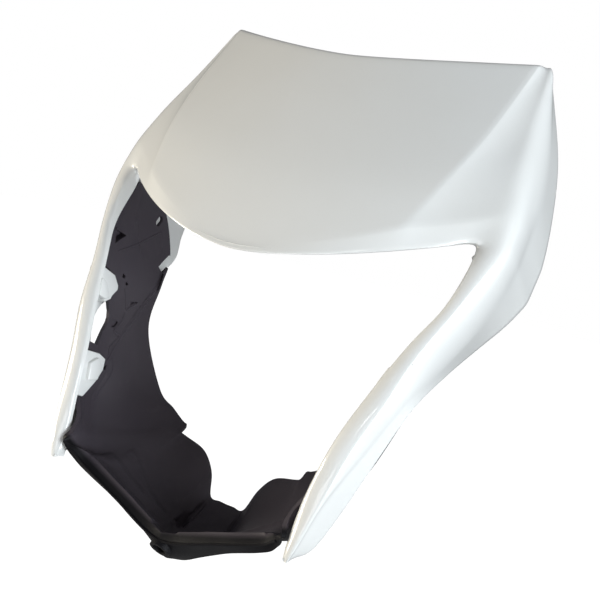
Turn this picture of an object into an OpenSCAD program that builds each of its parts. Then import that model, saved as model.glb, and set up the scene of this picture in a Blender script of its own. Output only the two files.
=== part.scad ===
// Headlight cowl of a small motorbike: a painted front moulding and a black inner moulding
// that is screwed into it from behind.
// The cowl is drawn in the plane of its face: x across, y rearwards and z up from the tips of
// its two legs. It is then leaned back as it sits on the bike, with the origin in the screw
// hole of the chin.

/* [Overall size] */
// Width over the wings at their widest
cowl_w = 260; // [230:1:290]
// Height of the top corners above the leg tips
corner_h = 308; // [280:1:330]
// Height of the middle of the top edge above the leg tips
top_h = 279; // [255:1:290]
// Width between the top corners
top_w = 218; // [196:1:236]
// How far the wings reach rearwards of the legs
wing_reach = 88; // [70:1:100]
// Angle at which the cowl leans back on the bike
lean = 20; // [0:1:30]

/* [Headlight opening] */
// Width of the opening between its upper corners, as a share of the whole width
opening_share = 0.885; // [0.84:0.005:0.9]
// Height of the upper corners of the opening
opening_h = 182; // [168:1:192]
// Width of the opening between the leg tips, as a share of the whole width
tip_share = 0.58; // [0.54:0.005:0.59]
// Height of the brow at the middle of the opening
brow_h = 136; // [120:1:150]
// How far the brow reaches forwards of the legs
brow_reach = 40; // [25:1:50]
// Depth of the turned-in edge round the opening
flange_d = 9; // [6:1:12]

/* [Mouldings] */
// Wall of the painted front moulding
cowl_wall = 2.6; // [2:0.1:3.2]
// Wall of the black inner moulding
inner_wall = 2.4; // [2:0.1:3]
// Gap between the two mouldings where they lie against each other
seat_gap = 0.3; // [0.2:0.1:0.8]
// Steps in each stretch of the lofted walls
loft_steps = 2; // [1:1:3]

/* [Lamp towers] */
// Height of the upper towers above the leg tips
upper_tower_h = 106; // [102:1:110]
// Height of the lower towers above the leg tips
lower_tower_h = 58; // [54:1:61]
// Clearance of the inner moulding round each tower
tower_clear = 0.6; // [0.4:0.1:1.5]

/* [Holes of the inner moulding] */
// Hole in the chin for the peg of the lower bracket
chin_bore = 8; // [6:0.5:9]
// Depth of the chin hole
chin_depth = 6.5; // [5:0.5:7]
// Outside of the collar round the chin hole
chin_collar = 12.4; // [11:0.2:13]
// Length of the locating slot high on each side panel
slot_len = 8; // [6:0.5:12]
// Width of the locating slot
slot_w = 4.5; // [3:0.5:6]

/* [Hidden] */

// Shares by which the guide points follow the overall sizes
wide = cowl_w / 260;
deep = wing_reach / 88;
high = corner_h / 308;
function p(x, y, z) = [x * wide, y * deep, z * high];
opening_w = opening_share * cowl_w;
tip_w = tip_share * cowl_w;

// Smooth curve through the points q, at u from 0 to len(q) - 1
function point(q, i) = i < 0 ? 2 * q[0] - q[1]
    : i > len(q) - 1 ? 2 * q[len(q) - 1] - q[len(q) - 2]
    : q[i];
function curve(q, u) =
    let (i = min(floor(u), len(q) - 2), t = u - i,
         a = point(q, i - 1), b = q[i], c = q[i + 1], d = point(q, i + 2))
    b + ((c - a) * t + (2 * a - 5 * b + 4 * c - d) * t ^ 2 + (3 * b - a - 3 * c + d) * t ^ 3) / 2;
function mix(a, b, t) = a + (b - a) * t;
function flip(q) = [-q.x, q.y, q.z];

// Outward direction of the grid g at row i and column j, taken from the neighbours in use
function facing(g, i, j, used) =
    let (i0 = used(i - 1, j) ? i - 1 : i, i1 = used(i + 1, j) ? i + 1 : i,
         j0 = used(i, j - 1) ? j - 1 : j, j1 = used(i, j + 1) ? j + 1 : j,
         v = cross(g[i1][j] - g[i0][j], g[i][j1] - g[i][j0]))
    v / norm(v);

// Closed wall behind the grid g. has(i, j) says whether the patch from row i to row i + 1
// and from column j to column j + 1 is part of it.
module lofted_wall(g, wall, has) {
    rows = len(g);
    cols = len(g[0]);
    n = rows * cols;
    live = function(i, j) i >= 0 && j >= 0 && i < rows - 1 && j < cols - 1 && has(i, j);
    used = function(i, j) live(i, j) || live(i - 1, j) || live(i, j - 1) || live(i - 1, j - 1);
    k = function(i, j) i * cols + j;
    front = [for (i = [0:rows - 1], j = [0:cols - 1]) g[i][j]];
    back = [for (i = [0:rows - 1], j = [0:cols - 1])
        used(i, j) ? g[i][j] - wall * facing(g, i, j, used) : g[i][j]];
    faces = [for (i = [0:rows - 2], j = [0:cols - 2]) if (live(i, j)) each concat(
        [[k(i, j), k(i, j + 1), k(i + 1, j)],
         [k(i, j + 1), k(i + 1, j + 1), k(i + 1, j)],
         [n + k(i, j), n + k(i + 1, j), n + k(i, j + 1)],
         [n + k(i, j + 1), n + k(i + 1, j), n + k(i + 1, j + 1)]],
        live(i - 1, j) ? [] : rim(k(i, j), k(i, j + 1), n),
        live(i + 1, j) ? [] : rim(k(i + 1, j + 1), k(i + 1, j), n),
        live(i, j - 1) ? [] : rim(k(i + 1, j), k(i, j), n),
        live(i, j + 1) ? [] : rim(k(i, j + 1), k(i + 1, j + 1), n))];
    polyhedron(points = concat(front, back), faces = faces, convexity = 8);
}
function rim(a, b, n) = [[b, a, n + a], [b, n + a, n + b]];

// Guide lines of the front moulding, right half, from the top edge down. Points 0 to 3 run
// to the fold over the brow, point 4 is level with the upper corner of the opening, and the
// rest follow the leg to its tip.
corner = [top_w / 2, 35, corner_h - 1];
middle_line = [[0, 1, top_h],
    [0, -0.37 * brow_reach, mix(brow_h, top_h, 0.67)],
    [0, -0.73 * brow_reach, mix(brow_h, top_h, 0.34)],
    [0, 2 - brow_reach, brow_h + 6]];
crease_line = [corner - [4, 4, 3], p(99, 4, 245), p(91, -12, 207), p(82, -22, 174)];
// Front fold of the wing and the leg
front_fold = [corner + [0, 1, 1], p(117, 22, 262), p(123, 12, 232), p(128, 5, 203),
    p(129, 1, 184), p(127, -1, 168), p(120, -5, 144), p(111, -9, 120), p(101, -13, 92),
    p(92, -13, 62), p(85, -11, 33), p(79, -8, 8), p(77, -5, -1)];
// Softer fold along the side of the wing
side_fold = [corner + [2, 5, -1], p(123, 45, 262), p(129, 44, 228), p(130, 38, 203),
    p(130, 36, 184), p(127, 35, 166), p(120, 32, 142), p(112, 24, 118), p(107, 3, 92),
    p(97, 0, 62), p(88, -6, 33), p(82, -5, 8), p(79, -4, -1)];
rear_edge = [corner + [3, 11, -4], p(123, 68, 266), p(128, 80, 234), p(130, 87, 203),
    p(128, 88, 181), p(122, 81, 163), p(113, 72, 143), p(109, 47, 120), p(107, 12, 92),
    p(98.5, 10, 62), p(90.5, 12, 33), p(83, 9, 9), p(79, 1, 2)];
// Inner edge of the leg: how far it has opened out, how far it bows forwards, its height
leg_open = [0.98, 1.01, 0.9, 0.66, 0.42, 0.2, 0.07, 0.01, 0.01];
leg_bow = [0, -2, -5, -8, -11, -12, -10, -5, -3];
leg_rise = [1, 0.925, 0.787, 0.659, 0.502, 0.34, 0.182, 0.049, 0.005];
leg_edge = [for (i = [0:8])
    [mix(tip_w, opening_w, leg_open[i]) / 2, leg_bow[i] * deep, leg_rise[i] * opening_h]];
// Share of its full depth that the turned-in edge has down the leg
turn_share = [1, 0.95, 0.5, 0.3, 0.3, 0.3, 0.3, 0.3, 0.3];
function turned(u) =
    let (turn = flange_d * curve(turn_share, u))
    curve(leg_edge, u) + [-0.3 * turn, turn, 0];
// Row of the leg at a height above the tips
function leg_row_at(h) = lookup(h, [for (i = [8:-1:0]) [leg_edge[i].z, i]]);
function lower_part(line) = [for (i = [4:12]) line[i]];
brow_mid = [0, -brow_reach, brow_h];

visor_cols = 4 * loft_steps;
facet_cols = 2 * loft_steps;
side_cols = 2 * loft_steps;
// Column of the opening's upper corner, and columns from it to the front fold
key_col = visor_cols + round(0.7 * facet_cols);
fold_col = visor_cols + facet_cols;
leg_cols = fold_col - key_col;

// Across the visor from its middle a to a point b, at a share t
function across(a, b, t) = [b.x * t, mix(a.y, b.y, t ^ 2), mix(a.z, b.z, t ^ 1.75)];
// Across the side, from the front fold a over the side fold b to the rear edge c
function side_row(a, b, c) = concat(
    [for (i = [0:side_cols - 1])
        let (t = i / side_cols) mix(a, b, t) + [1.5, -1, 0] * 4 * t * (1 - t)],
    [for (i = [0:side_cols]) mix(b, c, i / side_cols)]);
function visor_row(u) =
    let (m = curve(middle_line, u), c = curve(crease_line, u), a = curve(front_fold, u))
    concat([for (i = [0:visor_cols - 1]) across(m, c, i / visor_cols)],
        [for (i = [0:facet_cols - 1]) mix(c, a, i / facet_cols)],
        side_row(a, curve(side_fold, u), curve(rear_edge, u)));
function leg_row(u) =
    let (a = curve(lower_part(front_fold), u))
    concat([for (i = [0:leg_cols - 1]) mix(curve(leg_edge, u), a, i / leg_cols)],
        side_row(a, curve(lower_part(side_fold), u), curve(lower_part(rear_edge), u)));
function brow_row(turn) =
    [for (i = [0:key_col - 1]) across(brow_mid, leg_edge[0], i / key_col) + turn];

brow_turn = [0, 0.8 * flange_d, 2];
first_leg = 1 / loft_steps;
front_half = concat(
    [for (i = [0:3 * loft_steps]) visor_row(i / loft_steps)],
    [concat(brow_row([0, 0, 0]), leg_row(0))],
    [concat([for (i = [0:key_col - 2]) brow_row(brow_turn)[i]],
        [turned(0) + [-0.5, 0, -0.5]], leg_row(first_leg))],
    [for (i = [2:8 * loft_steps])
        concat([for (j = [0:key_col - 1]) turned(i / loft_steps)], leg_row(i / loft_steps))]);
front_grid = [for (row = front_half)
    concat([for (i = [len(row) - 1:-1:1]) flip(row[i])], row)];
mid_col = len(front_half[0]) - 1;
brow_row_no = 3 * loft_steps + 1;

// Towers behind the legs that reach through the notches of the inner moulding, drawn as
// offsets [back, up] from the middle of their rear face
upper_tower = [[0, -3], [0, 3.9], [-3, 8.1], [-14.6, 9.2], [-20.5, 9.2], [-20.5, -8], [-7.8, -8.2]];
lower_tower = [[0, -4], [0, 4.4], [-6.8, 5.9], [-17.2, 5.1], [-22.1, 5.1], [-22.1, -22],
    [-16.9, -21.4], [-5.7, -9.8]];
upper_tower_back = 12;
lower_tower_back = 11.6;
// How far the towers stand back from the inner edge of the leg
tower_inset = 1;
function tower_x(h) = curve(leg_edge, leg_row_at(h)).x + tower_inset;
function tower_w(h) = curve(lower_part(front_fold), leg_row_at(h)).x - 0.3 - tower_x(h);
// Angle at which the leg runs outwards at a height
function leg_slope(h) = atan2(tower_x(h + 5) - tower_x(h - 5), 10);
module at_tower(h, back) translate([tower_x(h), back, h]) rotate([0, leg_slope(h), 0]) children();
module tower_solid(outline, h, back) at_tower(h, back)
    rotate([90, 0, 90]) linear_extrude(tower_w(h)) polygon(outline);
module tower_room(outline, h, back) at_tower(h, back)
    translate([-20, 0, 0]) rotate([90, 0, 90]) linear_extrude(tower_w(h) + 24)
    offset(delta = tower_clear) polygon(outline);

// Mouth of the chin hole, how far it faces forwards of straight down, and its middle
chin_mouth = [0, 11.5 * deep, -24.3 * high];
chin_tilt = 28;
chin_at = chin_mouth + chin_depth / 2 * [0, sin(chin_tilt), cos(chin_tilt)];
// Wall that closes the inner end of the chin hole
chin_end = 0.8;
module leaned_back() rotate([-lean, 0, 0]) translate(-chin_at) children();

module both_sides() {
    children();
    mirror([1, 0, 0]) children();
}
module towers() {
    tower_solid(upper_tower, upper_tower_h, upper_tower_back);
    tower_solid(lower_tower, lower_tower_h, lower_tower_back);
}
module tower_notches() {
    tower_room(upper_tower, upper_tower_h, upper_tower_back);
    tower_room(lower_tower, lower_tower_h, lower_tower_back);
}

module front_cowl() color("white") leaned_back() {
    lofted_wall(front_grid, cowl_wall, function(i, j)
        i <= brow_row_no || min(abs(j - mid_col), abs(j + 1 - mid_col)) >= key_col - 1);
    both_sides() towers();
}

// Front edge of the inner moulding at a row of the leg: tucked behind the turned-in edge
// down to the lower tower, then brought round in front of the leg's inner edge
function behind(u) = turned(u) + [0.5 * cowl_wall, 0.5 * cowl_wall + seat_gap, 0];
function inside(u, back) = turned(u) + [-1.3 - seat_gap - inner_wall, back, 0];
// Side panel sections from the top down: front edge, ridge, two points of the wall, rear edge
panel_sections = [
    [behind(0.2), p(112.5, 12, 177), p(112.5, 15, 177), p(112.5, 18, 177), p(112.5, 21, 177)],
    [behind(1), p(112, 14, 168), p(111.5, 30, 168), p(111.2, 36, 168.5), p(110.5, 42, 169)],
    [behind(2), p(108, 14, 143), p(106, 45, 143), p(105.5, 51, 143), p(104.5, 58, 143)],
    [behind(3), p(103.5, 13, 120), p(100, 46, 121), p(99.5, 50, 121.5), p(99, 54, 122)],
    [behind(4), p(99, 13, 91), p(97.5, 30, 91), p(95, 39, 91), p(90, 47, 91)],
    [behind(5), p(90.5, 12, 62), p(89.5, 28, 60), p(84, 44, 58), p(70, 56, 58)],
    [behind(5.75) + [0, 0.5, 0], p(84.5, 7, 41), p(85.5, 24, 38.5), p(74, 44, 41), p(57, 59, 50)],
    [inside(6.25, 2), p(78.5, 4, 28), p(80, 22, 26), p(66, 43, 31), p(49.5, 60.5, 45.5)],
    [inside(6.65, -3) - [0.5, 0, 0], p(72.3, 1, 18), p(73.5, 21, 18.5), p(60.5, 42.5, 27.5), p(46.5, 61, 44)],
    [p(75.8, -9.8, 9.3), p(71.7, -7, 10), p(67, 19, 11), p(56, 42, 24), p(44, 61, 43)]];
// Sections round the chin: lower lip, bead, ridge, two points of the wall, rear edge
chin_sections = [
    [p(66, 2.5, 3.8), p(67.5, -2.5, 5.4), p(64, 0, 9), p(57, 20, 8), p(50, 43, 20), p(43.5, 57.5, 38)],
    [p(58, 8, -2.3), p(60, 1, 1), p(57, 4, 6), p(50, 21, 4), p(44, 45, 17), p(40, 59, 36.5)],
    [p(40, 14, -10.5), p(40, 4, -6.5), p(38, 6, -1), p(34, 22, -4), p(31, 46, 8), p(26, 62, 32.5)],
    [p(29, 18, -15.3), p(30, 5, -10), p(28, 7, -4.5), p(25, 24, -8), p(22, 48, -1), p(17, 65, 22)],
    [p(20, 21, -19.5), p(20, 6, -14), p(19, 7.5, -8), p(17, 26, -12), p(14, 50, -9), p(12, 66, 8.3)],
    [p(9, 28, -26.5), p(9, 7.3, -17.8), p(8, 7.6, -12), p(7, 27, -16), p(6, 51, -11), p(5, 66.5, 7.7)],
    [p(0, 30, -29), p(0, 8, -19.4), p(0, 6.8, -14.4), p(0, 28, -18), p(0, 51, -11), p(0, 66.5, 7.5)]];
// How far the lip bulges towards its collar, in each of those sections
lip_bulge = [0, 0, 0, 0, 0, 1.5, 3.8];
lip_from = len(panel_sections);
inner_sections = concat([for (q = panel_sections) concat([q[0]], q)], chin_sections);
wall_cols = 3 * loft_steps;
function bulge_at(u) = u < 0 ? 0 : curve(lip_bulge, u) * high;
function inner_section(u) =
    let (q = [for (c = [0:5]) curve([for (s = inner_sections) s[c]], u)])
    concat([for (i = [wall_cols:-1:0]) curve([q[2], q[3], q[4], q[5]], i / loft_steps)],
        [q[1], mix(q[1], q[0], 0.5) - [0, 0, bulge_at(u - lip_from)], q[0]]);
section_rows = (len(inner_sections) - 1) * loft_steps;
inner_half = [for (i = [0:section_rows]) inner_section(i / loft_steps)];
inner_grid = concat(inner_half, [for (i = [section_rows - 1:-1:0])
    [for (q = inner_half[i]) flip(q)]]);

// Cuts through the side panel, drawn as [back, up]
vent_cut = [[-30, 68], [6, 68], [10, 74.5], [12.8, 79], [14.8, 83], [15.4, 86.5], [14.5, 90.5],
    [12, 94], [7, 98.5], [-30, 98.5]];
hook_cut = [[48, 133], [53, 130], [62, 140], [57, 145]];
latch_cut = [[29.5, 103], [37, 104.5], [33, 99]];
slot_at = [0, 38.5, 161];
// Where these cuts start from the middle, and how far they run outwards
cut_from = 0.23 * cowl_w;
cut_len = 0.27 * cowl_w;
module side_cut(outline) rotate([90, 0, 90]) translate([0, 0, cut_from])
    linear_extrude(cut_len) scale([deep, high]) polygon(outline);
module slot_cut() translate([cut_from, slot_at.y * deep, slot_at.z * high]) rotate([-25, 0, 0])
    for (s = [-1, 1]) translate([0, 0, s * (slot_len - slot_w) / 2])
        rotate([0, 90, 0]) cylinder(d = slot_w, h = cut_len, $fn = 32);

module chin_place() translate(chin_at) rotate([-chin_tilt, 0, 0]) children();

module inner_cowl() color("#2d2a2d") leaned_back() difference() {
    union() {
        lofted_wall(inner_grid, inner_wall, function(i, j)
            j < wall_cols + 1 || min(i, 2 * section_rows - 1 - i) >= lip_from * loft_steps);
        chin_place() translate([0, 0, -chin_depth / 2])
            cylinder(d = chin_collar, h = chin_depth + chin_end, $fn = 48);
    }
    both_sides() {
        tower_notches();
        side_cut(vent_cut);
        side_cut(hook_cut);
        side_cut(latch_cut);
        slot_cut();
    }
    chin_place() translate([0, 0, -chin_depth / 2 - 1])
        cylinder(d = chin_bore, h = chin_depth + 1, $fn = 48);
}

front_cowl();
inner_cowl();
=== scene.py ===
"""Dresses the headlight cowl: a glossy painted front moulding and a grained black inner one."""
import math

import bmesh
import bpy
import numpy as np
from mathutils import Matrix, Vector


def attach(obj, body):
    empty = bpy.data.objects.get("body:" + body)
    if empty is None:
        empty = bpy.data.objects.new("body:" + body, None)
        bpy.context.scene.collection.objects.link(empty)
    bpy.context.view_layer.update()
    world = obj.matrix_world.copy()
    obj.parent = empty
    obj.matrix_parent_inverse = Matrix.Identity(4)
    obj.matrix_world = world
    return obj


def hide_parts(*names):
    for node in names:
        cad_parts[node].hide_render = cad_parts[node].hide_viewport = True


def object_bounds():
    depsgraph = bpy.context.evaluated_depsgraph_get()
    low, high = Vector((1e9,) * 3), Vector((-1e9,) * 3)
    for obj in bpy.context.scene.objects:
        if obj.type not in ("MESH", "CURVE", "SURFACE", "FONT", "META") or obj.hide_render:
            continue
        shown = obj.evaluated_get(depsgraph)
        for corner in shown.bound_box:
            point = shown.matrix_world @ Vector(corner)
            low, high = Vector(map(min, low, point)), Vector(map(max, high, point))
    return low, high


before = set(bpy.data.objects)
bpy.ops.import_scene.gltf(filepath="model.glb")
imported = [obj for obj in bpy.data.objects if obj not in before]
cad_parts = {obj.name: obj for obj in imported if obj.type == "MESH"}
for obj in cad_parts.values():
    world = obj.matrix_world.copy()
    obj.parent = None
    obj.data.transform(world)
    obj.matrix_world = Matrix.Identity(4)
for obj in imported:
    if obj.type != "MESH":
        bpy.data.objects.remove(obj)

CAD_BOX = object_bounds()
MM = 0.001

# Sizes are in millimetres on the face of the cowl: x across, y rearwards and z up from the
# tips of the two legs. The face is then leaned back, as the cowl sits on the bike.
LEAN = math.radians(20)
COWL_WALL, INNER_WALL, SEAT_GAP = 2.6, 2.4, 0.3
BROW_REACH, BROW_H, TOP_H, FLANGE = 40.0, 136.0, 281.0, 9.0
OPENING_W, OPENING_H, TIP_W = 230.1, 182.0, 150.8

# The hole of the chin: its collar and the wall at its end, the middle of its mouth, the way in
CHIN_BORE, CHIN_DEPTH, CHIN_COLLAR, CHIN_END, COLLAR_EDGE = 8.0, 6.5, 12.4, 0.8, 0.9
CHIN_TILT = math.radians(28)
CHIN_MOUTH = np.array([0, 11.5, -24.3])
CHIN_IN = np.array([0, math.sin(CHIN_TILT), math.cos(CHIN_TILT)])
CHIN_AT = CHIN_MOUTH + CHIN_DEPTH / 2 * CHIN_IN

# Guide lines of the right half, from the top edge down. Points 0 to 3 run to the fold over
# the brow, point 4 is level with the upper corner of the opening, and the rest follow the leg.
CORNER = np.array([109.0, 35.0, 307.0])
MIDDLE_LINE = np.array([(0, 1, TOP_H), (0, -0.37 * BROW_REACH, BROW_H + 0.67 * (TOP_H - BROW_H)),
                        (0, -0.73 * BROW_REACH, BROW_H + 0.34 * (TOP_H - BROW_H)),
                        (0, 2 - BROW_REACH, BROW_H + 6)])
CREASE_LINE = np.array([CORNER - (4, 4, 0), (99, 4, 245), (91, -12, 207), (82, -22, 174)])
FRONT_FOLD = np.array([CORNER + (0, 1, 2.2), (117, 22, 262), (123, 12, 232), (128, 5, 203),
                       (129, 1, 184), (127, -1, 168), (120, -5, 144), (111, -9, 120),
                       (101, -13, 92), (92, -13, 62), (85, -11, 33), (79, -8, 8), (77, -5, -1)])
SIDE_FOLD = np.array([CORNER + (2, 5, -2.5), (123, 45, 262), (129, 44, 228), (130, 38, 203),
                      (130, 36, 184), (127, 35, 166), (120, 32, 142), (112, 24, 118),
                      (107, 3, 92), (97, 0, 62), (88, -6, 33), (82, -5, 8), (79, -4, -1)])
REAR_EDGE = np.array([CORNER + (3, 11, -7), (123, 68, 266), (128, 80, 234), (130, 87, 203),
                      (128, 88, 181), (122, 81, 163), (113, 72, 143), (109, 47, 120),
                      (108.3, 12, 92), (100.3, 10, 62), (91.5, 13, 33), (84, 11, 9), (79, 2, 1.5)])
# Inner edge of the leg: how far it has opened out, how far it bows forwards, its height
LEG_OPEN = (0.98, 1.01, 0.9, 0.66, 0.42, 0.2, 0.07, 0.01, 0.01)
LEG_BOW = (0, -2, -5, -8, -11, -12, -10, -5, -3)
LEG_RISE = (1, 0.925, 0.787, 0.659, 0.502, 0.34, 0.182, 0.049, 0.005)
LEG_EDGE = np.array([((TIP_W + (OPENING_W - TIP_W) * o) / 2, b, r * OPENING_H)
                     for o, b, r in zip(LEG_OPEN, LEG_BOW, LEG_RISE)])
# Share of its full depth that the turned-in edge has down the leg
TURN_SHARE = np.array([(t,) for t in (1, 0.95, 0.5, 0.3, 0.3, 0.3, 0.3, 0.3, 0.3)])
BROW_MID = np.array([0, -BROW_REACH, BROW_H])
# How the edge turns in at the middle of the brow and at the upper corner of the opening, and
# the share of the brow from which the one passes into the other
BROW_TURN = np.array([0, 0.8 * FLANGE, 3.2])
CORNER_TURN = np.array([-1, 8.2, 3.6])
BROW_SHARE = 0.8
# Hollow of the facet beside the visor, and crowns of the side and of the leg's face
FACET_HOLLOW = np.array([0, 1.2, 0])
SIDE_CROWN = np.array([1.5, -1, 0])
LEG_CROWN = np.array([0, -0.8, 0])
# Radius over which the top edge rolls away, and height of one stretch of the guide lines there
TOP_ROLL, ROW_HEIGHT = 3.2, 46.0
TOP_ROWS = (0, 0.3, 0.8, 1.6, 2.5, 3.6)
RIM, RIM_ANGLE = 0.5, 50

# Towers behind the legs, as (back, up) from the middle of their rear face
UPPER_TOWER = [(0.3, -1.5), (0.3, 1.5), (-4.5, 6.9), (-14.6, 8), (-20.5, 8), (-20.5, -10),
               (-10.2, -12.5), (-5.3, -9.2), (-4.5, -7)]
LOWER_TOWER = [(0, -3), (0, 4.2), (-6.8, 5.9), (-17.2, 5.1), (-22.1, 5.1), (-22.1, -22),
               (-13, -22), (-9, -17), (-3.6, -10)]
# The blocks that stand proud of the towers, towards the lamp
UPPER_BLOCK = [(-20, -1), (-18.8, -0.2), (-14.4, -1.9), (-10.1, -9.7), (-13.2, -12), (-20, -11.5)]
LOWER_BLOCK = [(-15.8, -2), (-9.1, 3), (-3.8, -3.3), (-6.1, -10.3), (-14.6, -12.5)]
# Outline, block, height above the tips of the legs and distance behind them
TOWERS = ((UPPER_TOWER, UPPER_BLOCK, 106.0, 12.0), (LOWER_TOWER, LOWER_BLOCK, 58.0, 11.6))
TOWER_INSET, TOWER_EDGE = 1.0, 0.8
BLOCK_PROUD, BLOCK_SUNK = 2.4, 2.0
# Stretch above and below a tower over which the leg's slope is taken
SLOPE_REACH = 5
# Room round each tower in the inner moulding, and how far its notch runs in and out
TOWER_CLEAR, NOTCH_INWARDS, NOTCH_OUTWARDS = 0.78, 20, 30
# The small lug beside each upper corner of the opening, as (back, up)
LUG = [(7.6, 176.3), (11.3, 179.6), (17.2, 178.1), (15.1, 174.2)]
LUG_FROM, LUG_TO = 112, 116

# Rows and columns of the front moulding: steps in each stretch of the guide lines, column of
# the opening's corner, column of the front fold, rows of the brow's band and turned-in edge
STEPS = 8
VISOR_COLS, FACET_COLS, SIDE_COLS = 30, 16, 10
KEY = VISOR_COLS + 12
FOLD = VISOR_COLS + FACET_COLS
LEG_COLS = FOLD - KEY
BAND_ROWS, TURN_ROWS = 8, 5

# How the folds of the front moulding are rounded: the share of the way to its neighbours that
# a point moves in each round. The crease and the fold over the brow stay crisp.
EVEN_SHARE, CREASE_SHARE, BAND_SHARE, EVEN_ROUNDS = 0.5, 0.12, 0.2, 2
FOLD_SHARE, FOLD_SPREAD, FOLD_ROUNDS = 0.6, 2.5, 10
CORNER_SHARE, CORNER_ROUNDS = 0.6, 12
OPENING_CORNER_REACH, TOP_CORNER_REACH, TOP_CORNER_SHARE = 7, 4, 0.5


def curve(q, u):
    """Point of the smooth curve through the points q, at u from 0 to len(q) - 1."""
    i = min(int(math.floor(u)), len(q) - 2)
    t = u - i
    a = 2 * q[0] - q[1] if i == 0 else q[i - 1]
    b, c = q[i], q[i + 1]
    d = 2 * q[-1] - q[-2] if i + 2 > len(q) - 1 else q[i + 2]
    return b + ((c - a) * t + (2 * a - 5 * b + 4 * c - d) * t ** 2
                + (3 * b - a - 3 * c + d) * t ** 3) / 2


def mix(a, b, t):
    return a + (b - a) * t


def turned(u):
    """Inner end of the turned-in edge, beside the leg."""
    turn = FLANGE * curve(TURN_SHARE, u)[0]
    return curve(LEG_EDGE, u) + (-0.3 * turn, turn, 0)


def leg_row_at(height):
    return float(np.interp(height, LEG_EDGE[::-1, 2], np.arange(8, -1, -1)))


def on_bike(points):
    """Face points in millimetres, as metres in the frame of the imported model."""
    q = np.asarray(points, float) - CHIN_AT
    c, s = math.cos(LEAN), math.sin(LEAN)
    return np.stack([q[..., 0], q[..., 1] * c + q[..., 2] * s,
                     q[..., 2] * c - q[..., 1] * s], -1) * MM


def make_piece(name, verts, faces, edges=()):
    """Object from vertices in metres, on its own mesh at the origin."""
    mesh = bpy.data.meshes.new(name)
    mesh.from_pydata([tuple(v) for v in verts], list(edges), [tuple(f) for f in faces])
    mesh.validate()
    piece = bpy.data.objects.new(name, mesh)
    bpy.context.scene.collection.objects.link(piece)
    return piece


def finish_modifiers(piece):
    """Applies every modifier of the piece to its mesh."""
    bpy.context.view_layer.update()
    seen = piece.evaluated_get(bpy.context.evaluated_depsgraph_get())
    mesh = bpy.data.meshes.new_from_object(seen)
    piece.modifiers.clear()
    piece.data = mesh
    return piece


def thicken(piece, wall, even):
    """Gives a skin its wall behind it."""
    solid = piece.modifiers.new("wall", "SOLIDIFY")
    solid.thickness, solid.offset = wall * MM, -1
    solid.use_even_offset = solid.use_quality_normals = even
    return finish_modifiers(piece)


def round_edges(piece, width, segments, angle=30):
    """Rounds the edges that are sharper than an angle in degrees."""
    edge = piece.modifiers.new("edge", "BEVEL")
    edge.width, edge.segments = width * MM, segments
    edge.limit_method, edge.angle_limit = "ANGLE", math.radians(angle)
    return finish_modifiers(piece)


def shade(piece, angle=35):
    """Smooth shading that breaks at sharp edges."""
    mesh = piece.data
    mesh.shade_smooth()
    bm = bmesh.new()
    bm.from_mesh(mesh)
    for edge in bm.edges:
        edge.smooth = len(edge.link_faces) == 2 and edge.calc_face_angle(0) < math.radians(angle)
    bm.to_mesh(mesh)
    bm.free()


def cut(piece, tools):
    """Takes the closed meshes of the tools out of the piece."""
    for tool in tools:
        gone = piece.modifiers.new("cut", "BOOLEAN")
        gone.operation, gone.solver, gone.object = "DIFFERENCE", "MANIFOLD", tool
    finish_modifiers(piece)
    for tool in tools:
        bpy.data.objects.remove(tool)
    return piece


def prism(name, ring, towards):
    """Closed prism from a ring of face points, run along a vector."""
    ring = np.asarray(ring, float)
    n = len(ring)
    verts = on_bike(np.concatenate([ring, ring + towards]))
    sides = [(i, (i + 1) % n, n + (i + 1) % n, n + i) for i in range(n)]
    piece = make_piece(name, verts, sides + [tuple(range(n))[::-1], tuple(range(n, 2 * n))])
    return face_outwards(piece)


def sideways(name, outline, start, end, side):
    """Prism from an outline as (back, up), between two distances from the cowl's middle."""
    return prism(name, [(side * start, b, u) for b, u in outline], (side * (end - start), 0, 0))


def face_outwards(piece):
    bm = bmesh.new()
    bm.from_mesh(piece.data)
    bmesh.ops.recalc_face_normals(bm, faces=bm.faces)
    bm.to_mesh(piece.data)
    bm.free()
    return piece


def rod(name, start, end, radius, sides=48):
    """Closed round rod between two face points."""
    start, end = np.asarray(start, float), np.asarray(end, float)
    along = (end - start) / np.linalg.norm(end - start)
    side = np.cross(along, (1, 0, 0) if abs(along[0]) < 0.8 else (0, 0, 1))
    side /= np.linalg.norm(side)
    other = np.cross(along, side)
    turns = [2 * math.pi * k / sides for k in range(sides)]
    ring = [start + radius * (math.cos(t) * side + math.sin(t) * other) for t in turns]
    return prism(name, ring, end - start)


def join(name, pieces):
    """One mesh from several pieces, each closed in itself."""
    bm = bmesh.new()
    for piece in pieces:
        bm.from_mesh(piece.data)
    mesh = bpy.data.meshes.new(name)
    bm.to_mesh(mesh)
    bm.free()
    for piece in pieces:
        bpy.data.objects.remove(piece)
    whole = bpy.data.objects.new(name, mesh)
    bpy.context.scene.collection.objects.link(whole)
    return whole


def relaxed(points, faces, strength, rounds):
    """Rounds folds: a point moves towards its neighbours, and one on a rim along the rim."""
    count = {}
    for face in faces:
        for a, b in zip(face, face[1:] + face[:1]):
            edge = (min(a, b), max(a, b))
            count[edge] = count.get(edge, 0) + 1
    edges = np.array(list(count))
    rims = edges[np.array(list(count.values())) == 1]
    on_rim = np.zeros(len(points), bool)
    on_rim[rims.ravel()] = True
    inside = edges[~(on_rim[edges[:, 0]] & on_rim[edges[:, 1]])]
    both = np.concatenate([inside, inside[:, ::-1]])
    pairs = np.concatenate([both[~on_rim[both[:, 0]]], rims, rims[:, ::-1]])
    near = np.bincount(pairs[:, 0], minlength=len(points))[:, None]
    for _ in range(rounds):
        total = np.zeros_like(points)
        np.add.at(total, pairs[:, 0], points[pairs[:, 1]])
        points = points + strength[:, None] * (total / np.maximum(near, 1) - points)
    return points


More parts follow.
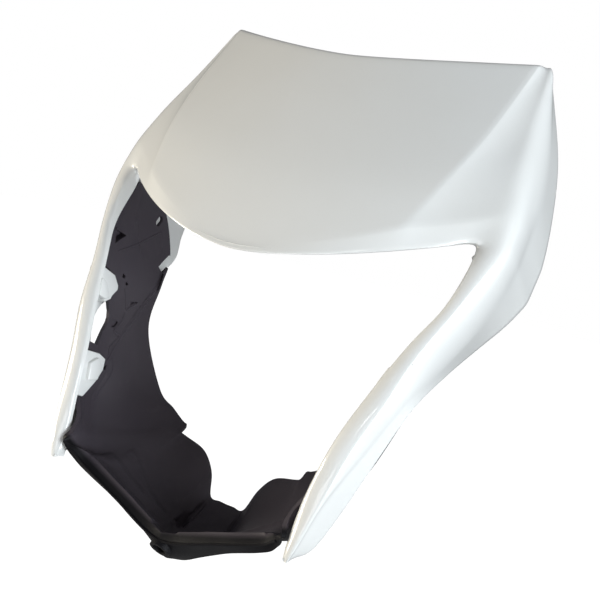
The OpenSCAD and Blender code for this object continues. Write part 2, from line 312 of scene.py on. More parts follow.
def roll_back(depth, j):
    """How far the top edge rolls away, at a depth below it and a column."""
    d = TOP_ROLL - min(depth, TOP_ROLL)
    share = min(1, max(0, j - FOLD) / SIDE_COLS)
    away = np.array([-share, 1 - share, 0]) / math.hypot(share, 1 - share)
    return away * (TOP_ROLL - math.sqrt(TOP_ROLL ** 2 - d ** 2))


def across(a, b, t):
    """Point of a visor row, at a share t of the way from its middle a to its end b."""
    return np.array([b[0] * t, mix(a[1], b[1], t ** 2), mix(a[2], b[2], t ** 1.75)])


def bowed(a, b, count, bow):
    """Points from a towards b, without b, bowed out by a vector halfway."""
    return [mix(a, b, i / count) + bow * 4 * (i / count) * (1 - i / count) for i in range(count)]


def side_row(a, b, c):
    """Across the side, from the front fold a over the side fold b to the rear edge c."""
    return bowed(a, b, SIDE_COLS, SIDE_CROWN) + [mix(b, c, i / SIDE_COLS)
                                                 for i in range(SIDE_COLS + 1)]


def visor_row(u):
    """Row from the middle over the visor, the facet and the side."""
    m, c, a = curve(MIDDLE_LINE, u), curve(CREASE_LINE, u), curve(FRONT_FOLD, u)
    return ([across(m, c, i / VISOR_COLS) for i in range(VISOR_COLS)]
            + bowed(c, a, FACET_COLS, FACET_HOLLOW)
            + side_row(a, curve(SIDE_FOLD, u), curve(REAR_EDGE, u)))


def leg_row(u):
    """Row of the leg from its inner edge over its face and its side."""
    a = curve(FRONT_FOLD[4:], u)
    return (bowed(curve(LEG_EDGE, u), a, LEG_COLS, LEG_CROWN * min(1, u))
            + side_row(a, curve(SIDE_FOLD[4:], u), curve(REAR_EDGE[4:], u)))


def front_rows():
    """Rows of the right half from the top edge down, and the number of the brow's row."""
    rows = [[q + roll_back(d, j) for j, q in enumerate(visor_row(d / ROW_HEIGHT))]
            for d in TOP_ROWS]
    rows += [visor_row(i / STEPS) for i in range(1, 3 * STEPS + 1)]
    brow = [across(BROW_MID, LEG_EDGE[0], i / KEY) for i in range(KEY)] + leg_row(0)
    rows += [[mix(a, b, k / BAND_ROWS) for a, b in zip(rows[-1], brow)]
             for k in range(1, BAND_ROWS)] + [brow]
    brow_no = len(rows) - 1
    rows += [[None] * KEY + leg_row(i / STEPS) for i in range(1, 8 * STEPS + 1)]
    return rows, brow_no


def turn_at(row, j):
    """How the edge turns in, at a number of rows below the brow and a column."""
    if j < KEY:
        return mix(BROW_TURN, CORNER_TURN, max(0, (j / KEY - BROW_SHARE) / (1 - BROW_SHARE)))
    u = row / STEPS
    return mix(CORNER_TURN, turned(u) - curve(LEG_EDGE, u), min(1, u))


def front_skin():
    """Outer skin and turned-in edge of the front moulding, as face points and quads."""
    rows, brow_no = front_rows()
    points, faces, at = [], [], {}

    def put(side, key, q, in_middle):
        """Adds a point under its key. Both halves share the points of the middle."""
        if side < 0 and in_middle:
            at[(side, *key)] = at[(1, *key)]
        else:
            at[(side, *key)] = len(points)
            points.append(q * (side, 1, 1))

    def patch(side, *keys):
        """Adds the quad between four points, where the row has them all."""
        if all((side, *key) in at for key in keys):
            quad = [at[(side, *key)] for key in keys]
            faces.append(quad[::-1] if side > 0 else quad)

    for side in (1, -1):
        for i, row in enumerate(rows):
            for j, q in enumerate(row):
                if q is not None:
                    put(side, (i, j), q, j == 0)
    for side in (1, -1):
        for i in range(len(rows) - 1):
            for j in range(len(rows[0]) - 1):
                patch(side, (i, j), (i, j + 1), (i + 1, j + 1), (i + 1, j))
    # The edge turned in round the opening, one strip from the brow to each tip
    rim = [(brow_no, j) for j in range(KEY)] + [(i, KEY) for i in range(brow_no, len(rows))]

    def rim_key(n, k):
        return ("turn", n, k) if k else rim[n]

    for side in (1, -1):
        for n, (i, j) in enumerate(rim):
            for k in range(1, TURN_ROWS + 1):
                turn = turn_at(i - brow_no, j) * k / TURN_ROWS
                put(side, rim_key(n, k), rows[i][j] + turn, n == 0)
        for n in range(len(rim) - 1):
            for k in range(TURN_ROWS):
                patch(side, rim_key(n, k), rim_key(n + 1, k), rim_key(n + 1, k + 1),
                      rim_key(n, k + 1))
    points = np.array(points)
    even, soft = np.full(len(points), EVEN_SHARE), np.zeros(len(points))
    for (_, i, j, *_), n in at.items():
        if i == "turn":
            continue
        if i > STEPS:
            soft[n] = FOLD_SHARE * math.exp(-((j - FOLD) / FOLD_SPREAD) ** 2)
        if i < brow_no - BAND_ROWS and abs(j - VISOR_COLS) < 2:
            even[n] = CREASE_SHARE
        if i == brow_no - BAND_ROWS:
            even[n] = BAND_SHARE
    points = relaxed(points, faces, even, EVEN_ROUNDS)
    points = relaxed(points, faces, soft, FOLD_ROUNDS)

    def close_to(place, reach):
        """1 at a place of either half, falling away over its reach."""
        gap = np.hypot(np.abs(points[:, 0]) - place[0],
                       np.linalg.norm(points[:, 1:] - place[1:], axis=1))
        return np.exp(-(gap / reach) ** 2)

    near = (close_to(LEG_EDGE[0], OPENING_CORNER_REACH)
            + TOP_CORNER_SHARE * close_to(CORNER, TOP_CORNER_REACH))
    return relaxed(points, faces, CORNER_SHARE * np.minimum(near, 1), CORNER_ROUNDS), faces


def beside_leg(outline, height, back, proud, length, side):
    """Prism run out sideways from the plane of a leg's inner edge."""
    def edge_x(at_height):
        return curve(LEG_EDGE, leg_row_at(at_height))[0]

    wider = edge_x(height + SLOPE_REACH) - edge_x(height - SLOPE_REACH)
    slope = math.atan2(wider, 2 * SLOPE_REACH)
    out = np.array([math.cos(slope), 0, -math.sin(slope)])
    x0 = edge_x(height) + TOWER_INSET
    ring = [np.array([x0 + u * math.sin(slope), back + b, height + u * math.cos(slope)])
            - proud * out for b, u in outline]
    scale = np.array([side, 1, 1])
    return prism("tower", np.array(ring) * scale, (proud + length) * out * scale)


def tower(outline, block, height, back, side):
    """One tower behind a leg, run through the leg's thickness, and its proud block."""
    row = leg_row_at(height)
    length = curve(FRONT_FOLD[4:], row)[0] - COWL_WALL / 2 - curve(LEG_EDGE, row)[0]
    parts = [beside_leg(outline, height, back, 0, length, side),
             beside_leg(block, height, back, BLOCK_PROUD, BLOCK_SUNK, side)]
    return [round_edges(piece, TOWER_EDGE, 3) for piece in parts]


def front_cowl():
    points, faces = front_skin()
    skin = thicken(make_piece("skin", on_bike(points), faces), COWL_WALL, True)
    parts = [round_edges(skin, RIM, 2, RIM_ANGLE)]
    for side in (1, -1):
        for spec in TOWERS:
            parts += tower(*spec, side)
        parts.append(sideways("lug", LUG, LUG_FROM, LUG_TO, side))
    return join("painted_front_cowl", parts)


def behind(u):
    """Front edge of the inner moulding, tucked behind the turned-in edge of the leg."""
    return turned(u) + (0.5 * COWL_WALL, 0.5 * COWL_WALL + SEAT_GAP, 0)


def inside(u, back):
    """Front edge of the inner moulding, brought round inside the leg."""
    return turned(u) + (-0.5 * COWL_WALL - SEAT_GAP - INNER_WALL, back, 0)


# Side panel sections from the top down: front edge, ridge, two points of the wall, rear edge
PANEL_SECTIONS = [
    [behind(0.2), (112.5, 12, 177), (112.5, 15, 177), (112.5, 18, 177), (112.5, 21, 177)],
    [behind(1), (112, 14, 168), (111.5, 30, 168), (111.2, 36, 168.5), (110.5, 42, 169)],
    [behind(2), (108, 14, 143), (106, 45, 143), (105.5, 51, 143), (104.5, 58, 143)],
    [behind(3), (103.5, 13, 120), (100, 46, 121), (99.5, 50, 121.5), (99, 54, 122)],
    [behind(4), (99, 13, 91), (97.5, 30, 91), (95, 39, 91), (90, 47, 91)],
    [behind(5), (90.5, 12, 62), (89.5, 28, 60), (84, 44, 58), (70, 56, 58)],
    [behind(5.75) + (0, 0.5, 0), (84.5, 7, 41), (85.5, 24, 38.5), (74, 44, 41), (57, 59, 50)],
    [inside(6.25, 2), (78.5, 4, 28), (80, 22, 26), (66, 43, 31), (49.5, 60.5, 45.5)],
    [inside(6.65, -3) - (0.5, 0, 0), (72.3, 1, 18), (73.5, 21, 18.5), (60.5, 42.5, 27.5),
     (46.5, 61, 44)],
    [(73.6, -8.6, 9.3), (70.3, -6.2, 10), (67, 19, 11), (56, 42, 24), (44, 61, 43)]]
# Sections round the chin: lower lip, bead, ridge, two points of the wall, rear edge
CHIN_SECTIONS = [
    [(68, 1.5, 1.6), (67.5, -2.5, 5.4), (64, 0, 9), (57, 20, 8), (50, 43, 20), (43.5, 57.5, 38)],
    [(58.5, 7, -3.4), (60, 1, 1), (57, 4, 6), (50, 21, 4), (44, 45, 17), (40, 59, 36.5)],
    [(40, 14, -10.5), (40, 4, -6.5), (38, 6, -1), (34, 22, -4), (31, 46, 8), (26, 62, 32.5)],
    [(29, 18.2, -15.7), (30, 5, -10), (28, 7, -4.5), (25, 24, -8), (22, 48, -1), (17, 65, 22)],
    [(20, 22, -20.2), (20, 6, -14), (19, 7.5, -8), (17, 26, -12), (14, 50, -9), (12, 66, 8.3)],
    [(9, 27.2, -25.8), (9, 7.3, -17.8), (8, 7.6, -12), (7, 27, -16), (6, 51, -11), (5, 66.5, 7.7)],
    [(0, 29.5, -28.4), (0, 8, -19.4), (0, 6.8, -14.4), (0, 28, -18), (0, 51, -11), (0, 66.5, 7.5)]]
# How far the lip bulges towards its collar, in each section of the chin
LIP_BULGE = np.array([(b,) for b in (0, 0, 0, 0, 0, 1.5, 3.8)])
LIP_FROM = len(PANEL_SECTIONS)
SECTIONS = np.array([[q[0]] + list(q) for q in PANEL_SECTIONS]
                    + [list(q) for q in CHIN_SECTIONS], float)
ROW_STEPS, WALL_STEPS, FRONT_STEPS, LIP_STEPS = 14, 14, 8, 10
WALL_COLS = 3 * WALL_STEPS
LIP_COL = WALL_COLS + FRONT_STEPS
# The lip grows out of one point, a little above the first section of the chin
LIP_ROW = LIP_FROM * ROW_STEPS - 9
INNER_ROUNDS = 3

# Openings through the side panel, as (back, up)
VENT = [(-30, 68), (6, 68), (10, 74.5), (12.8, 79), (14.8, 83), (15.4, 86.5), (14.5, 90.5),
        (12, 94), (7, 98.5), (-30, 98.5)]
HOOK = [(48, 133), (53, 130), (62, 140), (57, 145)]
CUT_FROM, CUT_TO = 60, 130
# The locating slot high on each side panel: its middle as (back, up), sizes and slope
SLOT_AT, SLOT_LEN, SLOT_W, SLOT_SLOPE = (38.5, 161), 8.0, 4.5, math.radians(25)
# Raised lines of the side panel: points as (back, up), half width and height
PANEL_RIBS = [
    ([(13.6, 156.5), (19.5, 148.1), (25, 140.1), (29, 131.5)], 1.0, 0.7),
    ([(43.7, 155.6), (33.3, 147), (25, 140.1), (15, 132.6), (5.8, 126.5)], 1.0, 0.6),
    ([(21.7, 109.1), (25.4, 103.1), (28.8, 96.3), (35.8, 102.8)], 1.0, 0.9),
    ([(28.7, 95.6), (27.6, 88), (22.1, 80.5), (28.6, 78.7), (20.5, 69.4), (22, 64.3)], 1.1, 0.9),
    ([(50.8, 120.1), (43.1, 104.9), (35, 88.6), (27.7, 75.3), (19.9, 58.7)], 1.5, 0.8),
    ([(22.9, 64.5), (27.3, 57.6), (23.4, 47.2), (15, 36.3)], 2.5, 0.7)]
# Pockets sunk into the side panel: outline as (back, up), and depth
PANEL_POCKETS = [
    ([(2.6, 139.6), (11.4, 139.4), (2.6, 130.6)], 5.0),
    ([(29.5, 102.7), (37, 104.3), (33, 99)], 1.4),
    ([(17.6, 86.8), (24.2, 87.2), (24.2, 83.4), (19.3, 82)], 1.4),
    ([(18.6, 62), (21.2, 61), (21.4, 56), (19.4, 56)], 1.4),
    ([(16.8, 116.6), (19.4, 115.6), (19, 113.6), (16.8, 114.2)], 3.6),
    ([(21.2, 112.6), (24, 112), (23.4, 110.4), (21.4, 110.8)], 3.6)]
# Folds and grooves of the floor: points as (across, back), half width and height
FLOOR_LINES = [
    ([(56.2, 34), (50.7, 34.2), (42.5, 32.8), (32.7, 30.7), (23.7, 34.6), (15.8, 42.4)], 2.0, 0.7),
    ([(17.3, 62.7), (18.9, 57.2), (19.3, 47.3)], 1.2, 0.5),
    ([(12.4, 43), (12.6, 54), (12.5, 62)], 1.9, -2.0)]
FLOOR_POCKETS = [([(9.6, 45), (15.8, 42), (17, 51.6), (13.9, 55)], 3.0)]
# The flat land between the ridge of the floor and its upper edge, as (across, back). It
# fades out over a height that ends at LAND_TOP.
FLOOR_LAND = [(63, 10), (63, 23.8), (49.4, 24.5), (38.4, 26.7), (29.4, 29.9), (22, 35.2),
              (16.3, 40.1), (11, 34), (9, 20), (9, -4), (56, -4)]
LAND_RISE, LAND_RIM, LAND_TOP, LAND_FADE = 0.9, 1.6, 26, 6
LINE_SLOPE, POCKET_RIM = 1.6, 0.8
# Normals that lean this far sideways belong to the side panels and not to the floor
SIDE_FROM, SIDE_FADE = 0.55, 0.2
# The raised lines: share of their height that shows, depth of their feet and ends, widths of
# their foot and crown as shares of the half width, and the step between their points
RIB_SHARE, RIB_FOOT_DEPTH, RIB_END_DEPTH = 0.55, 0.6, 0.3
RIB_FOOT, RIB_CROWN, RIB_STEP = 2.6, 0.7, 1.5
# The bead along the chin: its radius, its first section and the number of points a half
BEAD_RADIUS, BEAD_FROM, BEAD_POINTS = 0.8, LIP_FROM - 0.3, 40
# The closed cup behind a pocket of the side panel: width and thickness of its walls, and how
# far the tool that opens the pocket runs before and behind the panel's face
CUP_WALL, CUP_BACK, POCKET_BEFORE, POCKET_BEHIND = 1.4, 0.8, 4.0, 2.9


def near_line(p, line):
    """Distance of each flat point from a line of points."""
    best = np.full(len(p), 1e9)
    line = np.asarray(line, float)
    for a, b in zip(line[:-1], line[1:]):
        t = np.clip(((p - a) @ (b - a)) / ((b - a) @ (b - a)), 0, 1)
        best = np.minimum(best, np.linalg.norm(p - a - t[:, None] * (b - a), axis=1))
    return best


def within(p, outline):
    """Signed distance of each flat point from an outline, positive inside."""
    outline = np.asarray(outline, float)
    edge = near_line(p, np.concatenate([outline, outline[:1]]))
    odd = np.zeros(len(p), bool)
    for a, b in zip(outline, np.roll(outline, -1, 0)):
        crosses = (a[1] > p[:, 1]) != (b[1] > p[:, 1])
        with np.errstate(divide="ignore", invalid="ignore"):
            x = a[0] + (p[:, 1] - a[1]) / (b[1] - a[1]) * (b[0] - a[0])
        odd ^= crosses & (p[:, 0] < x)
    return np.where(odd, edge, -edge)


def smooth(t):
    t = np.clip(t, 0, 1)
    return t * t * (3 - 2 * t)


def relief(flat, lines, pockets):
    """Height of the raised lines and sunk pockets at each flat point."""
    rise = np.zeros(len(flat))
    for line, half, height in lines:
        rise += height * smooth(LINE_SLOPE * (1 - near_line(flat, line) / half))
    for outline, depth in pockets:
        rise -= depth * smooth(within(flat, outline) / POCKET_RIM + 0.5)
    return rise


def inner_section(u):
    """Row of the inner moulding, from its rear edge over the wall and the front to the lip."""
    q = [curve(SECTIONS[:, c], u) for c in range(6)]
    bulge = curve(LIP_BULGE, u - LIP_FROM)[0] if u >= LIP_FROM else 0.0
    belly = mix(q[1], q[0], 0.5) - (0, 0, bulge)
    wall, lip = np.array(q[2:]), np.array([q[1], belly, q[0]])
    return ([curve(wall, i / WALL_STEPS) for i in range(WALL_COLS, -1, -1)]
            + [mix(q[2], q[1], i / FRONT_STEPS) for i in range(1, FRONT_STEPS + 1)]
            + [curve(lip, 2 * i / LIP_STEPS) for i in range(1, LIP_STEPS + 1)])


def inner_skin():
    """Skin of the inner moulding on the side of the lamp, as face points and faces."""
    rows = (len(SECTIONS) - 1) * ROW_STEPS
    half = [inner_section(i / ROW_STEPS) for i in range(rows + 1)]
    grid = np.array(half + [[q * (-1, 1, 1) for q in row] for row in half[-2::-1]])
    n, m = grid.shape[:2]

    def at(i, j):
        """The lip's first row is drawn together into one point."""
        return i * m + (LIP_COL if min(i, n - 1 - i) == LIP_ROW and j > LIP_COL else j)

    quads = []
    for i in range(n - 1):
        for j in range(m - 1):
            if j < LIP_COL or min(i, n - 2 - i) >= LIP_ROW:
                quad = [at(i + 1, j), at(i + 1, j + 1), at(i, j + 1), at(i, j)]
                quads.append(list(dict.fromkeys(quad)))
    quads = [quad for quad in quads if len(quad) > 2]
    keep = sorted({k for quad in quads for k in quad})
    renumber = {k: s for s, k in enumerate(keep)}
    faces = [[renumber[k] for k in quad] for quad in quads]
    column = np.array(keep) % m
    points = grid.reshape(-1, 3)[keep]
    points = relaxed(points, faces, np.full(len(points), EVEN_SHARE), INNER_ROUNDS)
    # Normals towards the lamp, to raise and sink details along them
    normal = np.zeros_like(points)
    f = np.array([face + face[-1:] * (4 - len(face)) for face in faces])
    across_face = np.cross(points[f[:, 2]] - points[f[:, 0]], points[f[:, 3]] - points[f[:, 1]])
    for c in range(4):
        np.add.at(normal, f[:, c], across_face)
    normal /= np.linalg.norm(normal, axis=1)[:, None]
    wall = column <= WALL_COLS
    side = smooth((np.abs(normal[:, 0]) - SIDE_FROM) / SIDE_FADE) * wall
    floor = (1 - side) * wall * smooth((column - 1) / 4)
    flat = np.stack([np.abs(points[:, 0]), points[:, 1]], 1)
    rise = floor * relief(flat, FLOOR_LINES, FLOOR_POCKETS)
    low = smooth((LAND_TOP - points[:, 2]) / LAND_FADE)
    rise += LAND_RISE * low * wall * smooth(within(flat, FLOOR_LAND) / LAND_RIM + 0.5)
    return points + normal * rise[:, None], faces


def panel_at(points, back, up):
    """How far out the side panel lies at a depth and a height, from its nearest points."""
    near = points[(points[:, 0] > 40) & (points[:, 2] > 30)]
    gap = np.hypot(near[:, 1] - back, near[:, 2] - up)
    close = np.argsort(gap)[:6]
    share = 1 / (gap[close] + 0.2)
    return float((near[close, 0] * share).sum() / share.sum())


class Value:
    """A number from a node, used in sums as if it were a plain number."""

    def __init__(self, nodes, socket):
        self.nodes, self.socket = nodes, socket

    def maths(self, operation, *values):
        return self.nodes.node("ShaderNodeMath", {"operation": operation}, dict(enumerate(values)))

    def __add__(self, other):
        return self.maths("ADD", self, other)

    __radd__ = __add__

    def __sub__(self, other):
        return self.maths("SUBTRACT", self, other)

    def __rsub__(self, other):
        return self.maths("SUBTRACT", other, self)

    def __mul__(self, other):
        return self.maths("MULTIPLY", self, other)

    __rmul__ = __mul__

    def __abs__(self):
        return self.maths("ABSOLUTE", self)


class Nodes:
    """The nodes of one tree: a finish, the room or a sweep."""

    def __init__(self, tree, output):
        self.tree = tree
        tree.nodes.clear()
        self.out = tree.nodes.new(output)

    def node(self, kind, settings=None, inputs=None, output=0):
        """New node with its settings made first, then its sockets filled; gives one output."""
        made = self.tree.nodes.new(kind)
        for key, value in (settings or {}).items():
            setattr(made, key, value)
        for key, value in (inputs or {}).items():
            if isinstance(value, Value):
                self.tree.links.new(value.socket, made.inputs[key])
            else:
                made.inputs[key].default_value = value
        return Value(self, made.outputs[output])

    def end(self, value, socket):
        """Joins the last node to the output."""
        self.tree.links.new(value.socket, self.out.inputs[socket])


class Sweep(Nodes):
    """Geometry Nodes that sweep an outline along a line, with inputs named for its sizes."""

    def __init__(self, name, *sizes):
        self.group = bpy.data.node_groups.new(name, "GeometryNodeTree")
        kinds = {"Line": "Geometry", "Outwards": "Vector", "Finish": "Material"}
        kinds.update({size: "Float" for size in sizes})
        for socket, kind in kinds.items():
            self.group.interface.new_socket(socket, in_out="INPUT",
                                            socket_type="NodeSocket" + kind)
        self.group.interface.new_socket("Solid", in_out="OUTPUT",
                                        socket_type="NodeSocketGeometry")
        super().__init__(self.group, "NodeGroupOutput")

    def given(self, name):
        return self.node("NodeGroupInput", output=name)

    def along(self, outline):
        """Sweeps the outline, with its own up turned away from Outwards."""
        line = self.node("GeometryNodeMeshToCurve", {}, {"Mesh": self.given("Line")})
        sideways_on = self.node("ShaderNodeVectorMath", {"operation": "CROSS_PRODUCT"}, {
            0: self.node("GeometryNodeInputTangent"), 1: self.given("Outwards")})
        sideways_on = self.node("ShaderNodeVectorMath", {"operation": "NORMALIZE"},
                                {0: sideways_on})
        line = self.node("GeometryNodeSetCurveNormal", {"mode": "FREE"},
                         {"Curve": line, "Normal": sideways_on})
        solid = self.node("GeometryNodeCurveToMesh", {}, {
            "Curve": line, "Profile Curve": outline, "Fill Caps": True})
        solid = self.node("GeometryNodeRealizeInstances", {}, {"Geometry": solid})
        solid = self.node("GeometryNodeSetMaterial", {}, {
            "Geometry": solid, "Material": self.given("Finish")})
        self.end(solid, "Solid")
        return self

    def make(self, name, line, outwards, finish, **sizes):
        """Plain closed mesh along a line of face points. The sizes are in millimetres."""
        edges = [(i, i + 1) for i in range(len(line) - 1)]
        piece = make_piece(name, on_bike(line), (), edges)
        sweep = piece.modifiers.new("sweep", "NODES")
        sweep.node_group = self.group
        given = {"Outwards": outwards, "Finish": finish}
        given.update({size: value * MM for size, value in sizes.items()})
        for socket in self.group.interface.items_tree:
            if socket.name in given:
                sweep[socket.identifier] = given[socket.name]
        return face_outwards(finish_modifiers(piece))


def raised_line():
    """Sweep of a low line with a wide foot and a narrow crown."""
    sweep = Sweep("raised_line", "Foot", "Crown", "Thickness")
    outline = sweep.node("GeometryNodeCurvePrimitiveQuadrilateral", {"mode": "TRAPEZOID"}, {
        "Bottom Width": sweep.given("Foot"), "Top Width": sweep.given("Crown"),
        "Height": sweep.given("Thickness"), "Offset": 0.0})
    return sweep.along(outline)


def round_bead():
    """Sweep of a thin round bead."""
    sweep = Sweep("round_bead", "Radius")
    outline = sweep.node("GeometryNodeCurvePrimitiveCircle", {}, {
        "Resolution": 8, "Radius": sweep.given("Radius")})
    return sweep.along(outline)


def rib(sweep, points, line, half, height, side, finish):
    """Thin raised line that follows the side panel, with both ends sunk into it."""
    line = np.asarray(line, float)
    run = np.concatenate([[0], np.cumsum(np.linalg.norm(np.diff(line, axis=0), axis=1))])
    at = np.linspace(0, run[-1], max(4, int(run[-1] / RIB_STEP)) + 1)
    crown = RIB_SHARE * height
    thick = crown + RIB_FOOT_DEPTH
    backs, ups = np.interp(at, run, line[:, 0]), np.interp(at, run, line[:, 1])
    middle = []
    for k, (b, u) in enumerate(zip(backs, ups)):
        top = crown if 0 < k < len(at) - 1 else -RIB_END_DEPTH
        middle.append((side * (panel_at(points, b, u) - top + thick / 2), b, u))
    return sweep.make("rib", middle, (side, 0, 0), finish, Foot=RIB_FOOT * half,
                      Crown=RIB_CROWN * half, Thickness=thick)


def chin_bead(finish):
    """Thin round bead along the chin, between its front and its lip."""
    half = [curve(SECTIONS[:, 1], u)
            for u in np.linspace(BEAD_FROM, len(SECTIONS) - 1, BEAD_POINTS)]
    line = half + [q * (-1, 1, 1) for q in half[-2::-1]]
    up = (0, math.sin(LEAN), math.cos(LEAN))
    return round_bead().make("bead", line, up, finish, Radius=BEAD_RADIUS)


def around(outline, gap):
    """The outline made wider all round, each point away from its middle."""
    away = np.asarray(outline, float) - np.mean(outline, axis=0)
    return outline + away / np.linalg.norm(away, axis=1)[:, None] * gap


def pocket(points, outline, depth, side):
    """Tool that opens a pocket in the side panel, and the closed cup behind it."""
    x = panel_at(points, *np.mean(outline, axis=0))
    cup = sideways("cup", around(outline, CUP_WALL), x + 1, x + depth + CUP_BACK, side)
    cup = cut(cup, [sideways("pocket", outline, x - 1, x + depth, side)])
    return sideways("pocket", outline, x - POCKET_BEFORE, x + POCKET_BEHIND, side), cup


def slot_tool(side):
    """Tool for the rounded locating slot high on a side panel."""
    c, s = math.cos(SLOT_SLOPE), math.sin(SLOT_SLOPE)
    ring = []
    for k in range(32):
        t = 2 * math.pi * k / 32
        straight = math.copysign((SLOT_LEN - SLOT_W) / 2, math.sin(t))
        b, u = SLOT_W / 2 * math.cos(t), SLOT_W / 2 * math.sin(t) + straight
        ring.append((SLOT_AT[0] + b * c + u * s, SLOT_AT[1] - b * s + u * c))
    return sideways("slot", ring, CUT_FROM, CUT_TO, side)


def chin_hole():
    """Tool for the blind hole of the chin."""
    return rod("bore", CHIN_MOUTH - CHIN_IN, CHIN_MOUTH + CHIN_IN * CHIN_DEPTH, CHIN_BORE / 2)


def inner_cowl(finish):
    points, faces = inner_skin()
    piece = thicken(make_piece("inner_skin", on_bike(points), faces), INNER_WALL, False)
    tools, added = [], [chin_bead(finish)]
    sweep = raised_line()
    for side in (1, -1):
        for outline, _, height, back in TOWERS:
            tools.append(beside_leg(around(outline, TOWER_CLEAR), height, back,
                                    NOTCH_INWARDS, NOTCH_OUTWARDS, side))
        for outline in (VENT, HOOK):
            tools.append(sideways("cut", outline, CUT_FROM, CUT_TO, side))
        for outline, depth in PANEL_POCKETS:
            hole, cup = pocket(points, outline, depth, side)
            tools.append(hole)
            added.append(cup)
        for line, half, height in PANEL_RIBS:
            added.append(rib(sweep, points, line, half, height, side, finish))
        tools.append(slot_tool(side))
    cut(piece, tools)
    cut(piece, [chin_hole()])
    end = CHIN_MOUTH + CHIN_IN * (CHIN_DEPTH + CHIN_END)
    collar = cut(rod("collar", CHIN_MOUTH, end, CHIN_COLLAR / 2), [chin_hole()])
    return join("black_inner_cowl", [piece, round_edges(collar, COLLAR_EDGE, 4)] + added)


class Finish(Nodes):
    """The nodes of one finish."""

    def __init__(self, name):
        self.material = bpy.data.materials.new(name)
        self.material.use_nodes = True
        super().__init__(self.material.node_tree, "ShaderNodeOutputMaterial")

    def place(self):
        return self.node("ShaderNodeTexCoord", output="Object")

    def noise(self, scale, detail, roughness):
        return self.node("ShaderNodeTexNoise", {}, {
            "Vector": self.place(), "Scale": scale, "Detail": detail, "Roughness": roughness},
            "Fac")

    def axis(self, name):
        return self.node("ShaderNodeSeparateXYZ", {}, {0: self.place()}, name)

    def ramp(self, value, low, high):
        """0 below low, 1 above high."""
        return self.node("ShaderNodeMapRange", {"clamp": True}, {
            "Value": value, "From Min": low, "From Max": high})

    def blend(self, share, a, b):
        """Colour between a and b."""
        return self.node("ShaderNodeMix", {"data_type": "RGBA"}, {0: share, 6: a, 7: b}, 2)

    def bump(self, height, strength, distance):
        return self.node("ShaderNodeBump", {}, {
            "Height": height, "Strength": strength, "Distance": distance}, "Normal")

    def surface(self, **sockets):
        self.end(self.node("ShaderNodeBsdfPrincipled", {}, {
            k.replace("_", " "): v for k, v in sockets.items()}), "Surface")
        return self.material


def painted_white():
    f = Finish("painted_white")
    cloud = f.noise(9.0, 3.0, 0.5)
    peel = f.noise(420.0, 2.0, 0.45)
    speck = f.noise(1500.0, 1.0, 0.4)
    tone = f.blend(f.ramp(cloud, 0.35, 0.7), (0.86, 0.865, 0.85, 1), (0.835, 0.835, 0.81, 1))
    tone = f.blend(f.ramp(speck, 0.66, 0.8) * 0.25, tone, (0.74, 0.73, 0.69, 1))
    return f.surface(Base_Color=tone, Roughness=f.ramp(cloud, 0.2, 0.8) * 0.08 + 0.3,
                     Coat_Weight=0.9, Coat_Roughness=0.05, Coat_IOR=1.5, IOR=1.46,
                     Normal=f.bump(peel, 0.05, 0.0004))


def black_plastic():
    f = Finish("grained_black_plastic")
    cloud = f.noise(14.0, 4.0, 0.55)
    grain = f.noise(2600.0, 2.0, 0.6)
    pits = f.noise(900.0, 3.0, 0.55)
    dust = f.noise(60.0, 6.0, 0.7)
    tone = f.blend(f.ramp(cloud, 0.3, 0.7), (0.052, 0.044, 0.054, 1), (0.066, 0.057, 0.066, 1))
    tone = f.blend(f.ramp(dust, 0.58, 0.75) * 0.2, tone, (0.10, 0.09, 0.095, 1))
    # Painted shade: the plastic is coloured almost black in front of the ridge of the chin, where
    # the chin faces down into shade, and the tone turns over 4 mm
    before_ridge = 0.0075 - f.axis("Z") + abs(f.axis("X")) * 0.38 - f.axis("Y")
    chin = f.ramp(before_ridge, 0.0, 0.004)
    # Blends in the painted shade of the chin's front
    tone = f.blend(chin, tone, (0.007, 0.0065, 0.008, 1))
    return f.surface(Base_Color=tone, Roughness=f.ramp(cloud, 0.2, 0.8) * 0.12 + 0.42,
                     Specular_IOR_Level=0.14, IOR=1.49,
                     Normal=f.bump(grain * 0.6 + pits * 0.4, 0.3, 0.0003))


def ray(nodes, name):
    return nodes.node("ShaderNodeLightPath", output=name)


def studio_floor():
    """Pale floor that shows white to the camera and keeps the shadow."""
    f = Finish("studio_floor")
    seen = ray(f, "Is Camera Ray") + ray(f, "Is Transmission Ray") + ray(f, "Is Glossy Ray") * 0.1
    plain = f.node("ShaderNodeBsdfDiffuse", {}, {"Color": (0.35, 0.35, 0.35, 1)})
    glow = f.node("ShaderNodeEmission", {}, {"Color": (1, 1, 1, 1), "Strength": 0.96})
    lit = f.node("ShaderNodeAddShader", {}, {0: plain, 1: glow})
    f.end(f.node("ShaderNodeMixShader", {}, {0: f.ramp(seen, 0, 1), 1: plain, 2: lit}), "Surface")
    return f.material


def studio_room():
    """World that is white to the camera and lights the cowl softly."""
    world = bpy.data.worlds.new("studio")
    world.use_nodes = True
    w = Nodes(world.node_tree, "ShaderNodeOutputWorld")
    room = w.node("ShaderNodeBackground", {}, {"Color": (0.95, 0.97, 1.0, 1), "Strength": 0.2})
    white = w.node("ShaderNodeBackground", {}, {"Color": (1, 1, 1, 1), "Strength": 1.0})
    seen = ray(w, "Is Camera Ray") + ray(w, "Is Transmission Ray")
    w.end(w.node("ShaderNodeMixShader", {}, {0: seen, 1: room, 2: white}), "Surface")
    return world


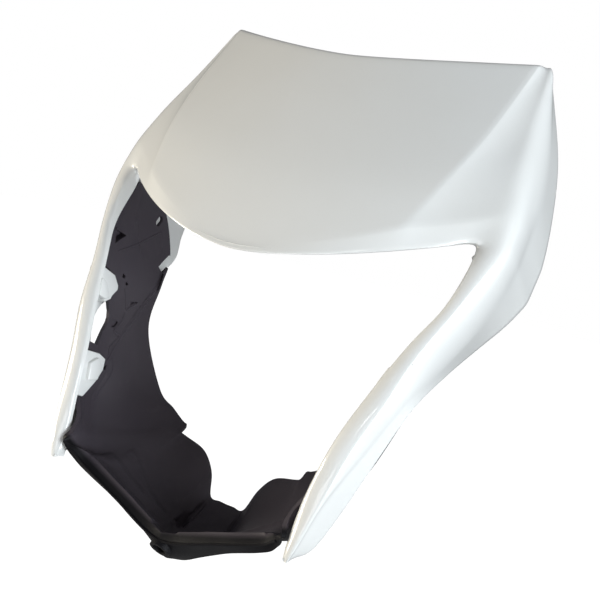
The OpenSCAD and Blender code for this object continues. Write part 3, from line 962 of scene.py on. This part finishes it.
# The lamps: place, width and height in metres, power in watts and colour
LAMPS = {
    "right_window": ((1.5, -0.35, 0.1), (0.8, 1.2), 27, (0.88, 0.95, 1.0)),
    "right_rear_window": ((1.35, 0.7, 0.0), (0.6, 0.8), 6, (0.92, 0.96, 1.0)),
    "low_window": ((0.62, -1.3, 0.42), (0.4, 0.08), 0.8, (1.0, 1.0, 1.0)),
    "front_window": ((0.3, -1.7, 0.0), (1.0, 0.6), 5.5, (1.0, 0.99, 0.97)),
    "left_lamp": ((-1.35, -0.65, -0.05), (0.6, 0.9), 28, (1.0, 0.925, 0.78))}
COWL_MIDDLE = Vector((0, 0.04, 0.14))
FLOOR_REACH, FLOOR_AT = 4, -0.25
# The photograph's own viewing angle, solved from the two matching halves of the cowl
CAMERA_AT = Vector((0.2442, -0.3689, 0.2055))
CAMERA_RIGHT, CAMERA_UP = Vector((0.854, 0.4773, 0.2069)), Vector((-0.2443, 0.0167, 0.9696))
LENS, SENSOR = 51.0, 36.0


def studio():
    scene = bpy.context.scene
    scene.view_settings.view_transform = "Standard"
    scene.world = studio_room()

    for name, (place, size, power, colour) in LAMPS.items():
        light = bpy.data.lights.new(name, "AREA")
        light.shape, light.size, light.size_y = "RECTANGLE", *size
        light.energy, light.color = power, colour
        holder = bpy.data.objects.new(name, light)
        scene.collection.objects.link(holder)
        holder.location = place
        aim = COWL_MIDDLE - Vector(place)
        holder.rotation_euler = aim.to_track_quat("-Z", "Y").to_euler()

    ring = [(x * FLOOR_REACH, y * FLOOR_REACH, FLOOR_AT)
            for x, y in ((-1, -1), (1, -1), (1, 1), (-1, 1))]
    floor = make_piece("studio_floor", ring, [(0, 1, 2, 3)])
    floor.data.materials.append(studio_floor())

    back = CAMERA_RIGHT.cross(CAMERA_UP).normalized()
    up = back.cross(CAMERA_RIGHT).normalized()
    camera = bpy.data.objects.new("camera", bpy.data.cameras.new("camera"))
    scene.collection.objects.link(camera)
    turn = Matrix((CAMERA_RIGHT.normalized(), up, back)).transposed().to_4x4()
    camera.matrix_world = Matrix.Translation(CAMERA_AT) @ turn
    camera.data.sensor_width, camera.data.lens, camera.data.clip_start = SENSOR, LENS, 0.01
    scene.camera = camera


def keep_in_box(piece):
    """Draws points that stand a hair's breadth outside the source's own box back into it."""
    hair = 2e-5
    low, high = Vector(CAD_BOX[0]), Vector(CAD_BOX[1])
    for v in piece.data.vertices:
        v.co = Vector(max(low[k] + hair, min(high[k] - hair, v.co[k])) for k in range(3))


def dress(piece, node, finish):
    """Gives a piece its finish, hangs it on the root body and hides the imported part it stands
    for.
    """
    keep_in_box(piece)
    shade(piece)
    piece.data.materials.clear()
    piece.data.materials.append(finish)
    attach(piece, "root")
    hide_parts(node)


dress(front_cowl(), "front_cowl", painted_white())
plastic = black_plastic()
dress(inner_cowl(plastic), "inner_cowl", plastic)
studio()
